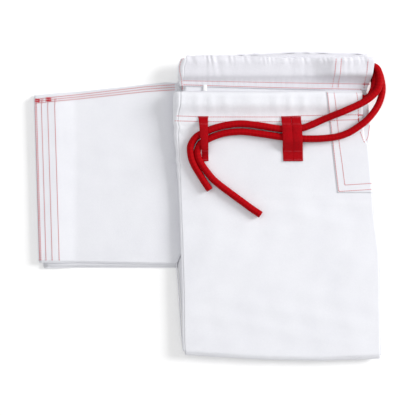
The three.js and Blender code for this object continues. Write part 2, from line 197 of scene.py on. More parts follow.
def smooth_route(points, step):
    """The points joined by a smooth curve, and cut into even steps."""
    points = [Vector(point) for point in points]
    ends = [points[0] * 2 - points[1], *points, points[-1] * 2 - points[-2]]
    fine = []
    for a, b, c, d in zip(ends, ends[1:], ends[2:], ends[3:]):
        t1 = (b - a).length ** 0.5
        t2 = t1 + (c - b).length ** 0.5
        t3 = t2 + (d - c).length ** 0.5
        for i in range(16):
            t = t1 + (t2 - t1) * i / 16
            ab = a * ((t1 - t) / t1) + b * (t / t1)
            bc = b * ((t2 - t) / (t2 - t1)) + c * ((t - t1) / (t2 - t1))
            cd = c * ((t3 - t) / (t3 - t2)) + d * ((t - t2) / (t3 - t2))
            first = ab * ((t2 - t) / t2) + bc * (t / t2)
            second = bc * ((t3 - t) / (t3 - t1)) + cd * ((t - t1) / (t3 - t1))
            fine.append(first * ((t2 - t) / (t2 - t1)) + second * ((t - t1) / (t2 - t1)))
    fine.append(points[-1])
    lengths = [0.0]
    for a, b in zip(fine, fine[1:]):
        lengths.append(lengths[-1] + (b - a).length)
    count = max(4, round(lengths[-1] / step))
    even, i = [], 0
    for k in range(count + 1):
        want = lengths[-1] * k / count
        while i < len(lengths) - 2 and lengths[i + 1] < want:
            i += 1
        share = (want - lengths[i]) / max(lengths[i + 1] - lengths[i], 1e-9)
        even.append(fine[i].lerp(fine[i + 1], min(max(share, 0), 1)))
    return even, lengths[-1]


def tube(name, route, wide, thick, side_of, around=28, pressed_ends=0):
    """A cord of that width and thickness along the route, closed at both cut ends. The last
    pressed_ends rings at each end are pressed flat, where it goes into a casing."""
    last = len(route) - 1
    tangents = [(after - before).normalized() for before, after
                in zip([route[0], *route[:-1]], [*route[1:], route[-1]])]
    sides = side_of(tangents)
    rings = [(0, swell) for swell in CUT_END] + [(i, 1.0) for i in range(1, last)]
    rings += [(last, swell) for swell in reversed(CUT_END)]

    def place(u, v):
        i, swell = rings[round(v * (len(rings) - 1))]
        turn = 2 * math.pi * (1 - u)
        up = tangents[i].cross(sides[i])
        pressed = min(max((pressed_ends - min(i, last - i)) / PRESSED_OVER, 0), 1)
        across = wide + (PRESSED_WIDE - wide) * pressed
        through = thick + (PRESSED_THICK - thick) * pressed
        out = sides[i] * (math.cos(turn) * across / 2) + up * (math.sin(turn) * through / 2)
        return route[i] + out * swell

    flat = (BRAID_ROUND, last * BRAID_STEP)
    return piece(name, around, len(rings) - 1, place, red_cord, flat=flat)


def carried_sides(tangents):
    """A sideways direction at each ring that turns with the cord and doesn't twist it."""
    side = Vector((0, 1, 0))
    sides = []
    for tangent in tangents:
        side = (side - tangent * side.dot(tangent)).normalized()
        sides.append(side.copy())
    return sides


def free_cord(name, points, pressed_ends=0):
    route, length = smooth_route(points, CORD_STEP)
    cord = tube(name, route, CORD_DIAMETER, CORD_DIAMETER, carried_sides,
                pressed_ends=pressed_ends)
    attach(cord, "hip_section")
    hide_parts(name)
    way = [point * MM for point in route[:-1:PATH_EVERY]] + [route[-1] * MM]
    length * MM


free_cord("left_cord_end", [
    (207.3, 177.8, 32.3), (209.8, 177.8, 32.4), (214, 175.8, 33), (217, 170.6, 33.5),
    (218.2, 164, 33.9), (217.9, 156, 34.2), (215.6, 148.2, 34.6), (207.7, 139.3, 35.3),
    (197.2, 132, 35.6), (184.2, 125.6, 35.6), (171.1, 119.9, 35.8), (158.1, 114.9, 32.6),
    (145, 109.6, 29.1), (132, 103.8, 28.3), (119.5, 99.6, 27.5), (95.4, 98.6, 27.4),
    (68, 102.6, 28), (41.6, 105.3, 28.5), (20, 102.6, 28.2), (3.2, 97.7, 27.4),
    (-12.2, 90.2, 26.8), (-18.2, 84.3, 26.3), (-21.7, 76.5, 25.8), (-21.7, 67.7, 25.1),
    (-19.7, 59, 24.4), (-15.6, 50.2, 23.7), (-10.2, 41.3, 23), (-5.4, 33.5, 22.4),
    (2.9, 21.2, 21.5),
])
free_cord("right_cord_end", [
    (205.9, 180.8, 15.6), (208.4, 180.8, 15.6), (214.2, 178.8, 16.1), (219.4, 171.8, 17.2),
    (222.3, 161.5, 18.6), (223.4, 150.4, 20.5), (221.6, 140, 22.6), (217.5, 129.5, 25),
    (210.3, 118.6, 27.4), (201.2, 108.7, 29.1), (190.7, 100.7, 28.6), (178.9, 93.6, 28),
    (165.9, 89.1, 27.6), (151.6, 87, 26.8), (135.9, 86.2, 26.4), (119.5, 86.4, 26.4),
    (95.4, 88.4, 26.6), (68, 92.4, 27), (41.6, 95.2, 27.1), (20, 92.8, 26.9), (3.2, 86.9, 26.4),
    (-9.2, 79.4, 25.9), (-12.8, 70.6, 25.2), (-11.4, 61.6, 24.7), (-7.2, 53.2, 24.3),
    (-0.7, 44.1, 23.4), (6.4, 35.4, 22.5), (14.2, 28.5, 22), (27, 18.8, 21.3), (41.6, 8.1, 20.6),
    (56.3, -2.7, 20.3), (68.1, -10.6, 20.3),
])
free_cord("left_hip_turn", [
    (201.5, 170.4, 26), (204.5, 170.2, 26.1), (208.4, 170.2, 26.2), (212, 167.6, 26.3),
    (213.9, 161.8, 26.3), (212.2, 153.6, 26.3), (209.6, 145.8, 26.2), (205.6, 139.8, 26.1),
    (200.5, 137.4, 25.9), (197, 137.1, 25.5), (193.4, 137, 25.4),
], PRESSED_RINGS)
free_cord("right_hip_turn", [
    (199.9, 169.2, 16), (203, 169.2, 15.9), (207.2, 169.2, 15.6), (211, 166.6, 15),
    (213.4, 159.5, 14.7), (212.2, 149, 14.5), (207.4, 140.6, 14.5), (200.5, 137.2, 14.7),
    (197, 137, 15), (193.4, 137, 15),
], PRESSED_RINGS)

# ---- Drawcord: inside the casings ----
# Pressed flat, 11 by 5.6 mm. Each strand goes out through the right half, round the centre fold
# and back through the left half. Near the left hip the lower one climbs over the upper one.


def along(points, t):
    """The value at t on the straight lines through the points."""
    if t <= points[0][0]:
        return points[0][1]
    for (t0, v0), (t1, v1) in zip(points, points[1:]):
        if t <= t1:
            return v0 + (v1 - v0) * (t - t0) / (t1 - t0)
    return points[-1][1]


def level_sides(tangents):
    return [Vector((0, 1, 0))] * len(tangents)


def pressed_run(name, turn_x, low, high, left_end, right_end, across, lift):
    """A strand at height low in the right casing and high in the left one, turning at turn_x."""
    right_steps, turn_steps, left_steps = 50, 16, 60
    reach = (high - low) / 2
    stations = [(right_end + (turn_x - right_end) * i / right_steps, low, turn_x)
                for i in range(right_steps)]
    for i in range(turn_steps + 1):
        turn = math.pi * i / turn_steps
        z = low + reach - reach * math.cos(turn)
        stations.append((turn_x - reach * math.sin(turn), z, turn_x))
    for i in range(1, left_steps + 1):
        x = turn_x + (left_end - turn_x) * i / left_steps
        stations.append((x, high, x))
    route = [Vector((x, along(across, at), z + along(lift, at))) for x, z, at in stations]
    run = tube(name, route, PRESSED_WIDE, PRESSED_THICK, level_sides, 20)
    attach(run, "hip_section")
    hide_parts(name)


pressed_run("cord_back_lower_run", -29.8, 16.0, 24.4, 207, 199.7,
            across=[(174, 169.2), (202, 177.8)], lift=[(146, 0), (170, 6), (190, 6), (202, 7.6)])
pressed_run("cord_back_upper_run", -29.8, 16.0, 24.4, 201.2, 205.6,
            across=[(174, 180.8), (202, 170.2)], lift=[(190, 0), (202, 1.6)])
pressed_run("cord_front_run", -33.2, 15.0, 25.4, 193.2, 193.2,
            across=[(165, 130.5), (190, 137)], lift=[(0, 0)])

# ---- Legs: hip panel, knee fold and shin panel ----
# Four layers of 0.8 mm cloth. Each runs from the waist down to the knee fold, round it, and up
# under itself to the calf fold. Heights are those of the middle of the cloth, and each list of an
# edge gives (y, x), with x counted from the centre fold or from the outer side.


def drill(name, low, high):
    """Cotton drill: slanting ribs, fine threads, slubs in the yarn and a cloudy unevenness."""
    cloth = Shading(name, Sheen_Weight=0.18, Sheen_Roughness=0.5, Specular_IOR_Level=0.25)
    place = cloth.place()
    x, y, _ = cloth.across(place)
    ribs = (x + y * 1.6).wave(0.00135)
    threads = x.wave(0.00068) * y.wave(0.00068)
    slubs = cloth.noise(place, 420.0, 3.0)
    clouds = cloth.noise(place, 26.0, 3.0)
    cloth.colour(clouds * 0.65 + slubs * 0.35, low, high)
    cloth.set("Roughness", clouds * 0.1 + 0.82)
    cloth.relief(ribs * 0.22 + threads * 0.15 + slubs * 0.3 + clouds * 1.6, 0.00018)
    return cloth.material


white_drill = drill("white_drill", (0.72, 0.725, 0.775), (0.84, 0.845, 0.88))
# A darker copy of the white drill, as painted shade: used for the casings and for the right back
# leg, which lies in shadow under the left back casing.
painted_shade_drill = drill("painted_shade_drill", (0.645, 0.64, 0.695), (0.79, 0.785, 0.83))

CLOTH = 0.8
LAYER_PITCH = 1.2  # from the middle of one layer to the middle of the next
EDGE_INSET = 0.6
LEFT_FRONT_Z = 15.0
RIGHT_FRONT_Z = 11.4
LEFT_BACK_Z = 13.8
WAIST_LIFT = 7
CORD_SWELL = 6
SHIN_Z = {"left_front": 5.2, "left_back": 6.4, "right_back": 7.6, "right_front": 8.8}
FOLD_X = -36
RIGHT_WAIST = 146.2
SIDE_X = 212
KNEE_Y = -198.5
KNEE_Z = 10.1
CALF_START = Vector((-37, 162, 0))
CALF_END = Vector((223, -76.2, 0))
CALF_OUT = Vector((0.675508, 0.737353, 0))
CALF_INSET = 4.6
KNEE_INSET = 5.3

CENTRE_FRONT = [(-191, 5.5), (-171, 4), (-115, 3.4), (-70, 2.1), (-2, 0), (32, -1.8), (80, -5.6),
                (114, -8), (140, -7.5), (148, -6)]
CENTRE_BACK = [(-191, 6.5), (-115, 4.4), (-2, 3), (32, 3.5), (148, 4.5), (198, 7.5)]
OUTER_SIDE = [(-196, 10), (-154, 9.6), (-86, 8.8), (-61, 8), (-41, 5.7), (-13, 1.9), (30, -1.4),
              (47, -2.7), (80, -6)]
FRONT_SLIT = [*OUTER_SIDE, (84, -11), (120, -13.5), (132, -15), (148, -14.5)]
BACK_SLIT = [*OUTER_SIDE, (105, -4.5), (130, -6), (150, -9), (160, -4.6), (170, -2.7),
             (187, -0.4)]
SHIN_EDGE = [(-191, -30.5), (-161, -33.4), (-141, -34.8), (-109, -36.7), (-74, -39.6), (-60, -34),
             (155, -34.5)]
KNEE_EDGE = [(0, 7.8), (0.2, 4.5), (0.4, 1.7), (0.7, 0.4), (1, 2.9)]
WAIST_RISE = [(8, 0), (100, 1)]
TURNING_RISE = [(102, 0), (106, 1)]
OVER_CORD = [(116.5, 0), (121, 0.25), (125, 0.62), (127.8, 0.95), (131, 1.02), (143.5, 1.02),
             (147.5, 0.2)]
UNDER_LOOPS = [(5, 1), (25, 0.25), (150, 0.25)]
FOLD_RUMPLE = [(20, 0), (55, 1), (105, 1), (113, 0)]
FOLD_RUMPLE_REACH = 6.5
FOLD_RUMPLE_HEIGHT = 0.75
RIPPLE_HEIGHT = 1.5
PUCKER_HEIGHT = 0.35
GATHER_HEIGHT = 0.45
CENTRE_RUMPLE = [(30, 0), (55, 1), (105, 1), (118, 0)]
CASING_LOW = 117
CASING_DEEP = 30


def eased(points, t):
    """Like along, but with the corners rounded off."""
    return sum(along(points, t + shift) for shift in (-3, -1.5, 0, 1.5, 3)) / 5


def left_back_mid(y):
    return LEFT_BACK_Z + WAIST_LIFT * along(WAIST_RISE, y)


def right_back_mid(y):
    return left_back_mid(y) - LAYER_PITCH


def ripple(x, y):
    """A slow unevenness between 0 and 1, as pressed cloth has."""
    broad = math.sin(x / 31 + math.sin(y / 47) * 1.7) * math.sin(y / 39 - math.sin(x / 53))
    fine = math.sin(x / 9.7 + y / 14.1 + 2 * math.sin(y / 23)) * math.sin(y / 11.3 - x / 17.9)
    return 0.5 + 0.33 * broad + 0.17 * fine


def pucker(along_seam, from_seam, reach):
    """The little waves that a row of stitches draws up, between 0 and 1."""
    fade = math.exp(-(from_seam / reach) ** 2)
    wave = math.sin(along_seam / 1.25 + 1.3 * math.sin(along_seam / 7.3))
    slow = math.sin(along_seam / 2.9 + 2.1 * math.sin(along_seam / 13.7))
    return fade * (0.5 + 0.28 * wave + 0.22 * slow)


FRONT_ROW = [(-44, 115.6), (3, 114.2), (90, 114.2), (118, 115.8), (202, 117.1)]


def left_front_mid(x, y):
    """The uppermost panel: it rises to the waist, and again over the cord in its casing."""
    height = LEFT_FRONT_Z + WAIST_LIFT * along(WAIST_RISE, y) + along(TURNING_RISE, y)
    height += CORD_SWELL * eased(OVER_CORD, y)
    height += RIPPLE_HEIGHT * ripple(x, y) * along(UNDER_LOOPS, y)
    height += PUCKER_HEIGHT * pucker(x, y - along(FRONT_ROW, x), 5) * (0 if y < 110 else 1)
    by_fold = math.exp(-(max(x - FOLD_X, 0) / FOLD_RUMPLE_REACH) ** 2) * along(FOLD_RUMPLE, y)
    rumple = 0.5 + 0.5 * math.sin(y / 3.3 + x / 9 + 1.6 * math.sin(y / 7.9))
    height += FOLD_RUMPLE_HEIGHT * by_fold * rumple
    if y <= CASING_LOW:
        return height
    up_casing = min((y - CASING_LOW) / CASING_DEEP, 1)
    gathers = math.sin(x / 3.9 + 1.9 * math.sin(x / 17)) * math.sin(math.pi * up_casing)
    return height + GATHER_HEIGHT * max(gathers, -0.4)


def roll_radius(y):
    """Of the centre fold, from the left front to the right front."""
    return (left_front_mid(FOLD_X, y) - RIGHT_FRONT_Z) / 2


def knee_y(across):
    """Where the cloth starts to turn at the knee fold."""
    return KNEE_Y + along(KNEE_EDGE, across) + KNEE_INSET


def calf_point(share):
    """Where the cloth starts to turn at the calf fold, from the inseam to the outer side."""
    return CALF_START.lerp(CALF_END, share) - CALF_OUT * CALF_INSET


def leg(name, height, left_edge, right_edge, waist, columns, hip_rows, shin_rows, face):
    """One layer of cloth from the waist to the calf fold."""
    shin_mid = SHIN_Z[name]
    hip_mid = 2 * KNEE_Z - shin_mid
    radius = hip_mid - KNEE_Z
    fold_rows = 10
    rows = hip_rows + fold_rows + shin_rows

    def place(u, v):
        row = round(v * rows)
        knee = knee_y(u)
        if row <= hip_rows:
            y = waist(u) + (knee - waist(u)) * row / hip_rows
            x = left_edge(y) + (right_edge(y) - left_edge(y)) * u
            return x, y, max(height(x, y), hip_mid)
        x = left_edge(knee) + (right_edge(knee) - left_edge(knee)) * u
        if row <= hip_rows + fold_rows:
            turn = math.pi * (row - hip_rows) / fold_rows
            return x, knee - radius * math.sin(turn), KNEE_Z + radius * math.cos(turn)
        share = (row - hip_rows - fold_rows) / shin_rows
        end = calf_point(u)
        y = knee + (end.y - knee) * share
        straight = x + (end.x - x) * share
        inseam_knee = along(SHIN_EDGE, knee_y(0))
        bow = along(SHIN_EDGE, y) - inseam_knee - (calf_point(0).x - inseam_knee) * share
        x_bowed = straight + bow * (1 - u) ** 2 * min(1, 8 * (1 - share))
        return x_bowed, y, shin_mid - 0.12 * ripple(x, y)

    cloth = piece(f"{name}_leg", columns, rows, place, face, CLOTH)
    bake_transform(cloth)
    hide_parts(f"{name}_hip_panel", f"{name}_shin")
    return cloth


def centre_front(y):
    wave = 0.7 * math.sin(y / 3.6 + 1.7 * math.sin(y / 8.7))
    return FOLD_X + eased(CENTRE_FRONT, y) + along(CENTRE_RUMPLE, y) * wave


def front_left_edge(y):
    return centre_front(y) + roll_radius(y)


def back_fold_edge(y):
    return FOLD_X + along(CENTRE_BACK, y) + EDGE_INSET


def front_side(y):
    return SIDE_X + along(FRONT_SLIT, y)


def back_side(y):
    return SIDE_X + along(BACK_SLIT, y)


def front_right_edge(y):
    return front_side(y) - EDGE_INSET


def left_back_edge(y):
    return back_side(y) - EDGE_INSET


def right_back_edge(y):
    return left_back_edge(y) - along([(130, 0), (160, 6)], y)


def left_waist(u):
    return along([(0, 146.2), (0.5, 145.6), (0.8, 147), (1, 147.6)], u)


def left_back_top(u):
    return along([(0, 189.2), (0.03, 190.1), (0.2, 190.2), (0.53, 187.1), (1, 187.2)], u)


def right_back_top(u):
    return along([(0, 187), (0.11, 190.2), (0.62, 196), (0.96, 194.1), (1, 193)], u)


left_front_leg = leg(
    "left_front", left_front_mid, front_left_edge, front_right_edge, left_waist,
    columns=125, hip_rows=172, shin_rows=60, face=white_drill)
left_back_leg = leg(
    "left_back", lambda x, y: left_back_mid(y), back_fold_edge, left_back_edge, left_back_top,
    columns=50, hip_rows=80, shin_rows=50, face=white_drill)
# The right back leg uses the darker drill, as painted shade where it shows beneath the left back
# casing.
right_back_leg = leg(
    "right_back", lambda x, y: right_back_mid(y), back_fold_edge, right_back_edge, right_back_top,
    columns=50, hip_rows=80, shin_rows=50, face=painted_shade_drill)
right_front_leg = leg(
    "right_front", lambda x, y: RIGHT_FRONT_Z, front_left_edge, front_right_edge,
    lambda u: RIGHT_WAIST, columns=50, hip_rows=80, shin_rows=50, face=white_drill)

# ---- Waist casings ----
# The top edge of each panel is turned to the inner side and sewn down in two rows. The left back
# one is uppermost, and its cloth is drawn up in gathers over the cord.

TURNED_CLOTH = 0.6
CASING_DROP = 2.4
FRONT_CASING_LOW = 107
LEFT_TURNING_Z = 21.9
RIGHT_TURNING_Z = 18.5
CORD_CROSSING = [(135, 0), (160, 9.5)]
RIGHT_BULGE = [(157.5, 0), (162.7, 1), (187, 1), (191, 0.5)]
FRONT_BULGE = [(113, 0), (119, 1), (143.5, 1), (147.5, 0.2)]
BACK_ROW = [(-32.6, 160.5), (35, 159.2), (93, 157.9), (208, 156.2)]
BACK_LOW_ROW = [(-32.6, 155.4), (35, 153.3), (93, 151.7), (196.5, 149.6), (210, 149.4)]
TURN_CORNER = [(150, 2.5), (158, 1.5), (166, -0.5), (178, -0.5), (186, 2), (190, 4)]


def back_gather(x, y):
    """Uneven gathers that run up and down the casing, between 0 and 1."""
    lean = 0.22 * (y - 176) * math.sin(x / 14.3 + 0.6)
    wave = math.sin((x + lean) / 1.7 + 2.6 * math.sin(x / 9.1))
    slow = math.sin((x + lean) / 4.3 + 1.9 * math.sin(x / 17.7) - 0.05 * (y - 170))
    tight = 0.5 + 0.5 * math.sin(x / 21 + 1.7 * math.sin(x / 37))
    return 0.5 + 0.24 * wave * tight + 0.2 * slow


def left_turning_mid(x, y):
    """The uppermost cloth of the band, drawn up over both strands of the cord."""
    row = along(BACK_ROW, x)
    bulge = along([(row + 0.3, 0), ((row + 163.9) / 2, 0.22), (163.9, 0.54), (166.4, 0.9),
                   (169.5, 1), (184.5, 1), (187.3, 0.8), (190, 0.5)], y)
    cover = eased(CORD_CROSSING, x)
    drawn_in = 0.45 + 1.1 * along([(176, 0), (188, 1)], y) + 0.7 * math.exp(-((x - 131) / 12) ** 2)
    gathers = 1.3 * drawn_in * back_gather(x, y) * min(bulge * 1.3, 1)
    puckers = 0.4 * pucker(x, y - row, 4.5)
    crinkle = math.sin(x / 1.15 + 2.3 * math.sin(x / 6.1) + y / 5) * math.sin(x / 7.7 + 1.1)
    puckers += 0.75 * (0.5 + 0.5 * crinkle) * along([(179, 0), (186, 1)], y)
    level = LEFT_TURNING_Z + WAIST_LIFT * (along(WAIST_RISE, y) - 1)
    return level + (CORD_SWELL + cover) * bulge + gathers + puckers


def right_turning_mid(x, y):
    bulge = along(RIGHT_BULGE, y)
    return RIGHT_TURNING_Z - CORD_SWELL * bulge - 0.8 * back_gather(x, y) * bulge


def panel(name, body, columns, rows, place, material, thickness):
    """Cloth that moves with one body and stands for the CAD node of its name."""
    cloth = piece(name, columns, rows, place, material, thickness)
    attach(cloth, body)
    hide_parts(name)
    return cloth


def casing(name, left, right, low, top, turning, panel_mid, columns):
    """A turning from its lower edge to the waist, and over the waist edge to the panel."""
    rows, fold_rows = 26, 8

    def place(u, v):
        row = round(v * (rows + fold_rows))
        share = min(row / rows, 1)
        middle = left(170) + (right(170) - left(170)) * u
        y = low(middle) + (top(u) - low(middle)) * share
        x = left(y) + (right(y) - left(y)) * u
        z = turning(x, y)
        if row <= rows:
            return x, y, z
        turn = math.pi * (row - rows) / fold_rows
        radius = (z - panel_mid) / 2
        reach = min(abs(radius), CASING_DROP)
        return x, y + reach * math.sin(turn), panel_mid + radius + radius * math.cos(turn)

    # The casings use the darker drill, as painted shade.
    return panel(name, "hip_section", columns, rows + fold_rows, place, painted_shade_drill, TURNED_CLOTH)


def casing_radius(y):
    return (left_turning_mid(-30, y) - right_turning_mid(-30, y)) / 2


def back_left_edge(y):
    """Where the back casing starts to turn round the cord at the centre."""
    return FOLD_X - 1.4 + along(TURN_CORNER, y) + casing_radius(y)


def left_band_top(u):
    drawn_up = 0.5 * math.sin(u * 61 + 2 * math.sin(u * 23)) + 0.25 * math.sin(u * 140)
    return left_back_top(u) + drawn_up


def right_band_top(u):
    return right_back_top(u) + 0.5 * math.sin(u * 50 + 2 * math.sin(u * 19))


def front_casing_left(y):
    return FOLD_X + 3.6


def front_casing_right(y):
    return front_side(y) - 2


left_back_casing = casing(
    "left_back_casing", back_left_edge, back_side, low=lambda x: along(BACK_LOW_ROW, x) - 1.8,
    top=left_band_top, turning=left_turning_mid, panel_mid=20.8, columns=260)
right_back_casing = casing(
    "right_back_casing", back_left_edge, lambda y: back_side(y) - 6, low=lambda x: 152.5,
    top=right_band_top, turning=right_turning_mid, panel_mid=19.6, columns=120)
left_front_casing = casing(
    "left_front_casing", front_casing_left, front_casing_right, low=lambda x: FRONT_CASING_LOW,
    top=lambda u: left_waist(u) - 0.2,
    turning=lambda x, y: 14.9 + WAIST_LIFT * along(WAIST_RISE, y), panel_mid=24.3, columns=60)
right_front_casing = casing(
    "right_front_casing", front_casing_left, front_casing_right, low=lambda x: FRONT_CASING_LOW,
    top=lambda u: RIGHT_WAIST - 0.2, turning=lambda x, y: 12.5 + CORD_SWELL * along(FRONT_BULGE, y),
    panel_mid=RIGHT_FRONT_Z, columns=60)

# ---- Folded edges of the hip section ----
# The two fronts are one fold at the centre, the two backs another inside it, and each leg closes
# along its outer side below the slit. The back casing turns round the cord at the centre.

SLIT_LOW = 79


def edge_roll(name, body, route, upper, lower, outward, thickness=CLOTH, steps=8):
    """Cloth that turns from an upper layer down to a lower one along a route of (x, y) edges."""
    count = len(route) - 1

    def place(u, v):
        x, y = route[round(v * count)]
        top, low = upper(x, y), lower(x, y)
        radius = (top - low) / 2
        turn = math.pi * u
        out = Vector(outward) * (radius * math.sin(turn))
        return x + out.x, y + out.y, low + radius + radius * math.cos(turn)

    roll = piece(name, steps, count, place, white_drill, thickness)
    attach(roll, body)
    return roll


def rows_between(low, high, step=2.5):
    """Even stations from low to high, about a step apart."""
    count = max(2, round((high - low) / step))
    return [low + (high - low) * i / count for i in range(count + 1)]


def hip_roll(name, edge, stations, upper, lower, way, **how):
    route = [(edge(y), y) for y in stations]
    return edge_roll(name, "hip_section", route, upper, lower, (way, 0, 0), **how)


def outer_edge(y):
    return SIDE_X + along(OUTER_SIDE, y) - EDGE_INSET


centre_front_fold = hip_roll(
    "centre_front_fold", front_left_edge, rows_between(knee_y(0), RIGHT_WAIST), left_front_mid,
    lambda x, y: RIGHT_FRONT_Z, -1, steps=14)
centre_back_fold = hip_roll(
    "centre_back_fold", back_fold_edge, rows_between(knee_y(0), 158, 5),
    lambda x, y: left_back_mid(y), lambda x, y: right_back_mid(y), -1)
back_casing_fold = hip_roll(
    "back_casing_fold", back_left_edge, rows_between(153, 188.6, 1.5), left_turning_mid,
    right_turning_mid, -1, thickness=TURNED_CLOTH, steps=16)
left_outer_side = hip_roll(
    "left_outer_side", outer_edge, rows_between(knee_y(1), SLIT_LOW), left_front_mid,
    lambda x, y: left_back_mid(y), 1)
right_outer_side = hip_roll(
    "right_outer_side", outer_edge, rows_between(knee_y(1), SLIT_LOW),
    lambda x, y: right_back_mid(y), lambda x, y: RIGHT_FRONT_Z, 1)

# ---- Hip patches and gussets ----
# A second thickness of cloth on the outer side of each front beside the slit, and a small piece
# that closes the bottom of the slit.

PATCH_CLOTH = 0.5
PATCH_LOW = 17.6
PATCH_TOP = 145.4
GUSSET_LOW = 80
GUSSET_HIGH = 107


def patch_left(y):
    return along([(17, 166.4), (83, 158.4), (147, 150.6)], y)


def patch(name, height):
    def place(u, v):
        y = PATCH_LOW + (PATCH_TOP - PATCH_LOW) * v
        x = patch_left(y) + (front_side(y) - 1.2 - patch_left(y)) * u
        return x, y, height(x, y)

    return panel(name, "hip_section", 26, 60, place, white_drill, PATCH_CLOTH)


left_hip_patch = patch("left_hip_patch", lambda x, y: left_front_mid(x, y) + 0.72)
right_hip_patch = patch("right_hip_patch", lambda x, y: 10.6)


def gusset(name, height):
    def place(u, v):
        y = GUSSET_LOW + (GUSSET_HIGH - GUSSET_LOW) * v
        x = front_side(y) - 2 + (back_side(y) - front_side(y) + 1.6) * u
        return x, y, height(x, y)

    return panel(name, "hip_section", 8, 14, place, white_drill, PATCH_CLOTH)


gusset("left_hip_gusset", lambda x, y: left_back_mid(y) + 0.7)
gusset("right_hip_gusset", lambda x, y: right_back_mid(y) - 0.7)

# ---- Size tag ----
# A small blank satin tag caught in the back casing seam. It hangs out between the casings.

satin = Shading("tag_tape", Specular_IOR_Level=0.5, Sheen_Weight=0.1)
_, satin_y, _ = satin.across(satin.place())
satin_float = satin.noise(satin.place(), 900.0, 2.0)
satin.colour(satin_float, (0.83, 0.83, 0.85), (0.92, 0.92, 0.93))
satin.set("Roughness", satin_float * 0.2 + 0.35)
satin.relief(satin_y.wave(0.0005) * 0.5 + satin_float * 0.3, 0.00005)
tag_tape = satin.material

TAG_LEFT, TAG_WIDTH = -5.8, 5.2
TAG_TOP, TAG_LENGTH = 155.5, 8.4
size_tag = piece("size_tag", 4, 8, lambda u, v: (
    TAG_LEFT + TAG_WIDTH * u, TAG_TOP - TAG_LENGTH * v, 22.75 - 0.12 * v + 0.2 * math.sin(3 * u)),
    tag_tape, 0.3)
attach(size_tag, "hip_section")
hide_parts("size_tag_blank")

# ---- Belt loops ----
# Red twill tape, 12 mm wide. The ends are sewn down and the middle stands over the cord. The outer
# loop is two tapes side by side. The right half's loops lie flat beneath.

twill = Shading("red_tape", Specular_IOR_Level=0.08)
twill_x, twill_y, _ = twill.across(twill.place())
twill_ribs = (twill_x * 1.3 + twill_y).wave(0.0013)
twill_fuzz = twill.noise(twill.place(), 600.0, 4.0)
twill.colour(twill_ribs * 0.2 + twill_fuzz * 0.8, (0.30, 0.0004, 0.003), (0.56, 0.0008, 0.008))
twill.set("Roughness", twill_fuzz * 0.2 + 0.62)
twill.relief(twill_ribs * 0.7 + twill_fuzz * 0.6, 0.00022)
red_tape = twill.material

LOOP_WIDTH = 12.2
INNER_LOW_WIDTH = 7.6
LOOP_LOW = 58
LOOP_HIGH = 115
LOOP_SLANT = 3 / 57
LOOP_SEAMS = (104.6, 70.6)
LOOP_STAND = 9.6


def loop_lift(arch, y):
    """How far the tape's edges stand over the cloth at y."""
    seams = sum(math.exp(-((y - seam) / 0.9) ** 2) for seam in LOOP_SEAMS)
    return LOOP_STAND * eased(arch, y) - 0.45 * seams


def loop_crown(arch, y):
    """How much higher the tape is along its middle than at its edges."""
    return 0.3 + 0.8 * eased(arch, y)


def belt_loop(name, middle_x, low_width, arch, height, relief):
    """One tape, whose relief is turned over and pressed flatter on the right half's loops."""
    def place(u, v):
        y = LOOP_LOW + (LOOP_HIGH - LOOP_LOW) * v
        half = along([(LOOP_LOW, low_width / 2), (70, low_width / 2 + 0.6),
                      (LOOP_HIGH, LOOP_WIDTH / 2)], y) - 0.1
        turned_ends = sum(math.exp(-((y - end) / 4) ** 2) for end in (LOOP_LOW, LOOP_HIGH))
        half *= 1 + 0.05 * turned_ends
        x = middle_x + LOOP_SLANT * (LOOP_HIGH - y) + half * (2 * u - 1)
        crown = loop_crown(arch, y) * max(math.sin(math.pi * u), 0) ** 0.7
        return x, y, height(x, y) + relief * (loop_lift(arch, y) + crown)

    tape = piece(name, 12, 76, place, red_tape, 1.0)
    edge = tape.modifiers.new("edge", "BEVEL")
    edge.width = 0.25 * MM
    edge.segments = 2
    edge.limit_method = "ANGLE"
    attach(tape, "hip_section")
    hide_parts(name)


def loop_ground(x, y):
    """The height of the tape where it lies on the left front, above the slow unevenness."""
    return left_front_mid(FOLD_X, y) + 1.15 if y < 113 else left_front_mid(x, y) + 1.1


OUTER_ARCH = [(70, 0), (84, 1), (102.5, 1), (109.5, 0)]
INNER_ARCH = [(65, 0), (74, 1), (102.5, 1), (109.5, 0)]
NO_ARCH = [(0, 0)]
LOOP_X = {"inner_loop": -5.6, "outer_loop_a": 100.1, "outer_loop_b": 112.7}
for label, x in LOOP_X.items():
    inner = label == "inner_loop"
    low_width, arch = (INNER_LOW_WIDTH, INNER_ARCH) if inner else (LOOP_WIDTH, OUTER_ARCH)
    belt_loop(f"left_{label}", x, low_width, arch, loop_ground, 1)
    belt_loop(f"right_{label}", x, LOOP_WIDTH, NO_ARCH, lambda x, y: 10.2, -0.3)

# ---- Cuffs ----
# The lower legs, from the calf fold to the cuffs, lowest in the bundle. Each leg's cuff has a
# deep hem turned to the inside, and the legs lie one on the other.

CUFF_X = -223
HEM_DEPTH = 28
HEM_ROWS = (2.6, 9, 17, 26)
HEM_Z = {"left_front": 6.9, "left_back": 5.9, "right_back": 2.5, "right_front": 1.5}
CUFF_LAYERS = {"right_front": 0, "right_back": 1, "left_back": 2, "left_front": 3}
CUFF_TOP = {"left": Vector((CUFF_X, 140.2, 0)), "right": Vector((CUFF_X - 0.4, 142.4, 0))}
CUFF_LOW = {"left": Vector((CUFF_X + 6.2, -71, 0)), "right": Vector((CUFF_X + 11.8, -78.2, 0))}
CUFF_RISE = [(CUFF_X + HEM_DEPTH + 1, 1), (-170, 0)]
INSEAM_BOW = [(CUFF_X, 0), (-170, 0.8), (-54, 3), (-37, 0)]


def cuff_place(side, a, b, inset=0.0):
    """Where share a of the leg's width and share b of its length lies."""
    point = CUFF_TOP[side].lerp(CUFF_LOW[side], a).lerp(calf_point(a), b)
    bow = along(INSEAM_BOW, point.x) if point.x < -37 else 0
    point.y += bow * (1 - a) ** 2 - inset * (1 - 2 * a)
    return point


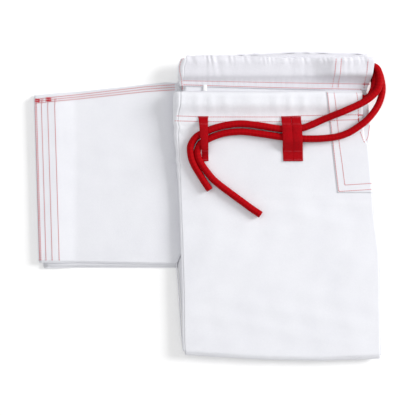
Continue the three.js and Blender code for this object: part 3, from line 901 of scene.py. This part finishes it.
def cuff_mid(layer, x):
    """The height of a layer, which the hems below it raise near the cuff."""
    hems = (0, 2, 2, 4)[layer]
    return CLOTH / 2 + LAYER_PITCH * layer + hems * eased(CUFF_RISE, x)


def cuff_unevenness(x, y):
    """The slow unevenness of the uppermost layer, which ends where the shin lies on it."""
    return 0.9 * ripple(x * 1.1, y + 90) * along([(-52, 1), (-42, 0)], x)


def cuff(name, columns, rows):
    """One layer of a lower leg. The uppermost one shows, with the puckers of its hem rows."""
    side, layer = name.split("_")[0], CUFF_LAYERS[name]

    def place(u, v):
        point = cuff_place(side, u, v, EDGE_INSET)
        z = cuff_mid(layer, point.x)
        if name == "left_front":
            inside = min(14 * min(u, 1 - u), 1)
            z += cuff_unevenness(point.x, point.y) * inside
            for row in HEM_ROWS:
                z += 0.16 * pucker(point.y, point.x - CUFF_X - row, 2.6) * inside
        return point.x, point.y, z

    return panel(f"{name}_cuff", "cuff_section", columns, rows, place, white_drill, CLOTH)


left_front_cuff = cuff("left_front", 110, 150)
left_back_cuff = cuff("left_back", 40, 60)
right_back_cuff = cuff("right_back", 40, 60)
right_front_cuff = cuff("right_front", 40, 60)


def hem(name):
    """A turned hem, and the fold that joins it to its panel at the cuff edge."""
    side, z = name.split("_")[0], HEM_Z[name]
    flat_rows, fold_rows = 6, 8

    def place(u, v):
        row = round(v * (flat_rows + fold_rows))
        point = cuff_place(side, u, 0.0, 0.9)
        if row <= flat_rows:
            return point.x + HEM_DEPTH * (1 - row / flat_rows), point.y, z
        turn = math.pi * (row - flat_rows) / fold_rows
        radius = (cuff_mid(CUFF_LAYERS[name], CUFF_X) - z) / 2
        x = point.x - abs(radius) * math.sin(turn)
        return x, point.y, z + radius - radius * math.cos(turn)

    return panel(f"{name}_hem", "cuff_section", 40, flat_rows + fold_rows, place, white_drill,
                 TURNED_CLOTH)


hems = {name: hem(name) for name in HEM_Z}


def cuff_edges(side, upper, lower):
    """The two rolls that close a lower leg along its inseam and its outer side."""
    rolls = []
    for edge, a, way in (("inseam", 0, 1), ("outer_side", 1, -1)):
        places = [cuff_place(side, a, b, EDGE_INSET) for b in rows_between(0, 1, 0.012)]
        rolls.append(edge_roll(
            f"{side}_cuff_{edge}", "cuff_section", [(p.x, p.y) for p in places],
            lambda x, y: cuff_mid(upper, x), lambda x, y: cuff_mid(lower, x), (0, way, 0)))
    return rolls


left_cuff_edges = cuff_edges("left", 3, 2)
right_cuff_edges = cuff_edges("right", 1, 0)

# ---- Shin edges and calf fold ----
# Each leg closes along its inseam and outer side, and each layer turns back at the calf. The
# layers lie round the fold like the rings of an onion, the left front innermost.

SHIN_RIGHT = 219.5


def shin_edges(label, upper_name, lower_name):
    """The two rolls that close the shin along its inseam and its outer side."""
    knee_right = knee_y(1)
    upper, lower = SHIN_Z[upper_name], SHIN_Z[lower_name]
    inner = [(along(SHIN_EDGE, y), y) for y in rows_between(knee_y(0), 150, 4)]
    outer = [(SHIN_RIGHT + 0.4 * min((y - knee_right) / 80, 1), y)
             for y in rows_between(knee_right, -82, 5)]
    return [
        edge_roll(f"{label}_shin_{edge}", "shin_section", route, lambda x, y: upper,
                  lambda x, y: lower, (way, 0, 0), steps=6)
        for edge, route, way in (("inseam", inner, -1), ("outer_side", outer, 1))
    ]


left_shin_edges = shin_edges("left", "left_back", "left_front")
right_shin_edges = shin_edges("right", "right_front", "right_back")


def calf_fold(name):
    """The cloth that turns back from one shin layer down to its cuff layer."""
    shin_mid, cuff_mid_z = SHIN_Z[name], CLOTH / 2 + LAYER_PITCH * CUFF_LAYERS[name]
    radius = (shin_mid - cuff_mid_z) / 2

    def place(u, v):
        point = calf_point(v) + CALF_OUT * (radius * math.sin(math.pi * u))
        return point.x, point.y, cuff_mid_z + radius + radius * math.cos(math.pi * u)

    cloth = piece(f"{name}_calf", 10, 60, place, white_drill, CLOTH)
    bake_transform(cloth)
    return cloth


calf_folds = {name: calf_fold(name) for name in SHIN_Z}

# ---- Stitching ----
# Rows of pink-red thread, one stitch every 3 mm, with bar tacks where the rows meet an edge.
# Each stitch is its own short length of thread, on the cloth it is sewn to.

STITCH_PITCH = 3.0
STITCH_WIDE = 0.9
STITCH_THICK = 0.6
STITCH_STAND = 0.08

thread = Shading("red_thread", Roughness=0.55, Sheen_Weight=0.2)
thread_ply = thread.noise(thread.place(), 1500.0, 2.0)
thread.colour(thread_ply, (0.42, 0.006, 0.020), (0.66, 0.020, 0.045))
thread.relief(thread_ply, 0.00008)
red_thread = thread.material


def round_off(radius, beyond):
    """How far a fold of that radius has dropped at that distance beyond its start."""
    return radius - math.sqrt(max(radius ** 2 - beyond ** 2, 0))


def hip_top(x, y):
    """The uppermost cloth of the hip section at (x, y)."""
    if y > 148:
        beyond = back_left_edge(y) - x
        if beyond <= 0:
            return left_turning_mid(x, y) + 0.3
        return left_turning_mid(-30, y) + 0.3 - round_off(casing_radius(y), beyond)
    if x > patch_left(y) and y > PATCH_LOW:
        return left_front_mid(x, y) + 0.97
    beyond = max(front_left_edge(y) - x, 0)
    return left_front_mid(x, y) + 0.4 - round_off(roll_radius(y), beyond)


def cuff_top(x, y):
    return cuff_mid(3, x) + cuff_unevenness(x, y) + 0.55


def stitching(name, body, rows, top, pitch=STITCH_PITCH, wide=STITCH_WIDE):
    """Rows of stitches along the lines through the points, at the height that top gives."""
    mesh = bpy.data.meshes.new(name)
    threads = bmesh.new()
    along_x = Matrix.Rotation(math.pi / 2, 4, "Y")
    for row in rows:
        sewn_row = bmesh.new()
        for start, end in zip(row, row[1:]):
            start, end = Vector((*start, 0)), Vector((*end, 0))
            count = max(1, round((end - start).length / pitch))
            for i in range(count):
                a = start.lerp(end, (i + 0.1) / count)
                b = start.lerp(end, (i + 0.9) / count)
                a.z, b.z = top(a.x, a.y) + STITCH_STAND, top(b.x, b.y) + STITCH_STAND
                way = b - a
                turn = Vector((1, 0, 0)).rotation_difference(way).to_matrix().to_4x4()
                size = Matrix.Diagonal((way.length, wide, STITCH_THICK, 1)) @ along_x
                where = Matrix.Scale(MM, 4) @ Matrix.Translation((a + b) / 2) @ turn @ size
                bmesh.ops.create_uvsphere(sewn_row, u_segments=6, v_segments=5, radius=0.5,
                                          matrix=where)
        one_row = bpy.data.meshes.new("row")
        sewn_row.to_mesh(one_row)
        sewn_row.free()
        threads.from_mesh(one_row)
        bpy.data.meshes.remove(one_row)
    for face in threads.faces:
        face.smooth = True
    threads.to_mesh(mesh)
    threads.free()
    mesh.materials.append(red_thread)
    sewn = bpy.data.objects.new(name, mesh)
    bpy.context.scene.collection.objects.link(sewn)
    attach(sewn, body)
    return sewn


def finely(points, step=6.0):
    """The same line in short lengths, so that stitches follow the cloth."""
    fine = [points[0]]
    for (x0, y0), (x1, y1) in zip(points, points[1:]):
        count = max(1, round(math.hypot(x1 - x0, y1 - y0) / step))
        for i in range(1, count + 1):
            fine.append((x0 + (x1 - x0) * i / count, y0 + (y1 - y0) * i / count))
    return fine


def zigzag(x, y, dx, dy, wide, count):
    """A bar tack from (x, y) along (dx, dy)."""
    points = []
    length = math.hypot(dx, dy)
    for i in range(count + 1):
        side = wide / 2 if i % 2 else -wide / 2
        share = i / count
        points.append((x + dx * share - dy / length * side, y + dy * share + dx / length * side))
    return points


front_rows = [
    finely([(-43, 115.6), (-36, 115.4), (3, 114.2), (90, 114.2), (118, 115.8), (196, 117.0)]),
    finely([(-42.6, 109.3), (-36, 109.1), (0, 108.2), (90, 108.2), (166, 110), (193, 110.7)]),
]
front_stitching = stitching("front_casing_stitching", "hip_section", front_rows, hip_top)
back_rows = [
    finely([(-31, 160.5), (35, 159.2), (93, 157.9), (207, 156.2)]),
    finely([(-31, 155.4), (35, 153.3), (93, 151.7), (196.5, 149.6)]),
    finely([(162.7, 187.5), (159.4, 151.7)], 3),
    finely([(169.2, 187.5), (166.7, 151.7)], 3),
    finely([(202.9, 186.5), (199.7, 150.4)], 3),
    zigzag(197.8, 156.2, 8.9, 0, 1.8, 12),
    finely([(-30, 188.6), (-33.6, 185.4), (-35.4, 179), (-35.2, 170.5), (-33.2, 163),
            (-32.6, 155.3), (-31.8, 149)], 3),
]
back_stitching = stitching("back_casing_stitching", "hip_section", back_rows, hip_top)
patch_rows = [
    finely([(152.2, 145), (154.9, 123.5), (158.1, 99.2), (160, 82.6), (164, 49.9), (167.9, 19.3),
            (210, 21.9)]),
    finely([(160.6, 145), (164, 121.7), (166.5, 99.2), (167.9, 82.6), (171.8, 56.4), (175.7, 27.5),
            (210, 29.6)]),
    finely([(189.4, 145), (191.4, 129.9), (192.6, 110.7)]),
    zigzag(191.4, 116.5, 6.4, 0, 1.8, 9),
    zigzag(192.6, 112.5, 0, -5, 1.8, 8),
]
patch_stitching = stitching("patch_stitching", "hip_section", patch_rows, hip_top)
slit_rows = [finely([(194.6, 95.5), (198.9, 84.2), (201, 81.5)])]
slit_stitching = stitching("slit_stitching", "hip_section", slit_rows, hip_top)
gusset_rows = [finely([(202.5, 84), (204.9, 88.8), (207, 104)])]
gusset_stitching = stitching("gusset_stitching", "hip_section", gusset_rows,
                             lambda x, y: left_back_mid(y) + 0.98)


def cuff_rows(side):
    """The five rows of the hem, the three of the inseam and the two tacks at its end."""
    rows = []
    for inside in (0.9, *HEM_ROWS):
        shares = (0.006, 0.05, 0.2, 0.4, 0.6, 0.8, 0.994)
        places = [cuff_place(side, a, 0.0) for a in shares]
        places[0].x += 1.2
        rows.append(finely([(p.x + inside, p.y) for p in places]))
    for below, spread in ((2.3, 0), (4.9, 0.7), (7.5, 1.4)):
        stops = [(x, (x - CUFF_X) / 186) for x in (-221.5, -170, -120, -80, -42)]
        rows.append(finely([(x, cuff_place(side, 0, b).y - below - spread * b) for x, b in stops]))
    rows.append(zigzag(-222, 137, 6, -1, 5, 16))
    rows.append(zigzag(-207.5, 138, 6, 0, 6, 14))
    return rows


left_cuff_stitching = stitching("left_cuff_stitching", "cuff_section", cuff_rows("left"), cuff_top)
right_cuff_stitching = stitching("right_cuff_stitching", "cuff_section", cuff_rows("right"),
                                 lambda x, y: -0.12)

loop_rows = []
for x in LOOP_X.values():
    for y in (*LOOP_SEAMS, 113.2, 60.0):
        half = 4.0 if x < 0 and y < 80 else 5.3
        middle = x + LOOP_SLANT * (LOOP_HIGH - y)
        loop_rows.append(zigzag(middle - half, y, 2 * half, 0, 1.3, 12))


def loop_top(x, y):
    arch = INNER_ARCH if x < 50 else OUTER_ARCH
    return loop_ground(x, y) + 0.5 + loop_lift(arch, y) + 0.85 * loop_crown(arch, y)


stitching("loop_stitching", "hip_section", loop_rows, loop_top, pitch=1.4, wide=0.5)

# ---- Floor and light ----
# A plain white studio floor, a large soft light at the right and a weaker one overhead.

floor_mesh = bpy.data.meshes.new("floor")
floor_grid = bmesh.new()
bmesh.ops.create_grid(floor_grid, x_segments=2, y_segments=2, size=4)
bmesh.ops.translate(floor_grid, verts=floor_grid.verts, vec=(0, 0, -0.0004))
floor_grid.to_mesh(floor_mesh)
floor_grid.free()
floor = bpy.data.objects.new("floor", floor_mesh)
bpy.context.scene.collection.objects.link(floor)
paper = Shading("floor_paper", Roughness=0.9, Specular_IOR_Level=0.1)
paper_grain = paper.noise(paper.place(), 60.0)
paper.colour(paper_grain, (0.93, 0.93, 0.935), (0.95, 0.95, 0.95))
paper.set("Emission Color", (1, 1, 1, 1))
paper.set("Emission Strength", 0.08)
floor_mesh.materials.append(paper.material)

for name, place, size, power in (("key", (2.6, 0.9, 1.5), 1.3, 84),
                                 ("overhead", (-0.5, 0.3, 2.2), 2.0, 12)):
    lamp = bpy.data.objects.new(name, bpy.data.lights.new(name, "AREA"))
    lamp.data.size = size
    lamp.data.energy = power
    lamp.location = place
    lamp.rotation_euler = (-Vector(place)).to_track_quat("-Z", "Y").to_euler()
    bpy.context.scene.collection.objects.link(lamp)

world = bpy.data.worlds.new("studio")
world.use_nodes = True
world.node_tree.nodes["Background"].inputs["Color"].default_value = (1, 1, 1, 1)
world.node_tree.nodes["Background"].inputs["Strength"].default_value = 0.57
bpy.context.scene.world = world
bpy.context.scene.view_settings.view_transform = "Standard"
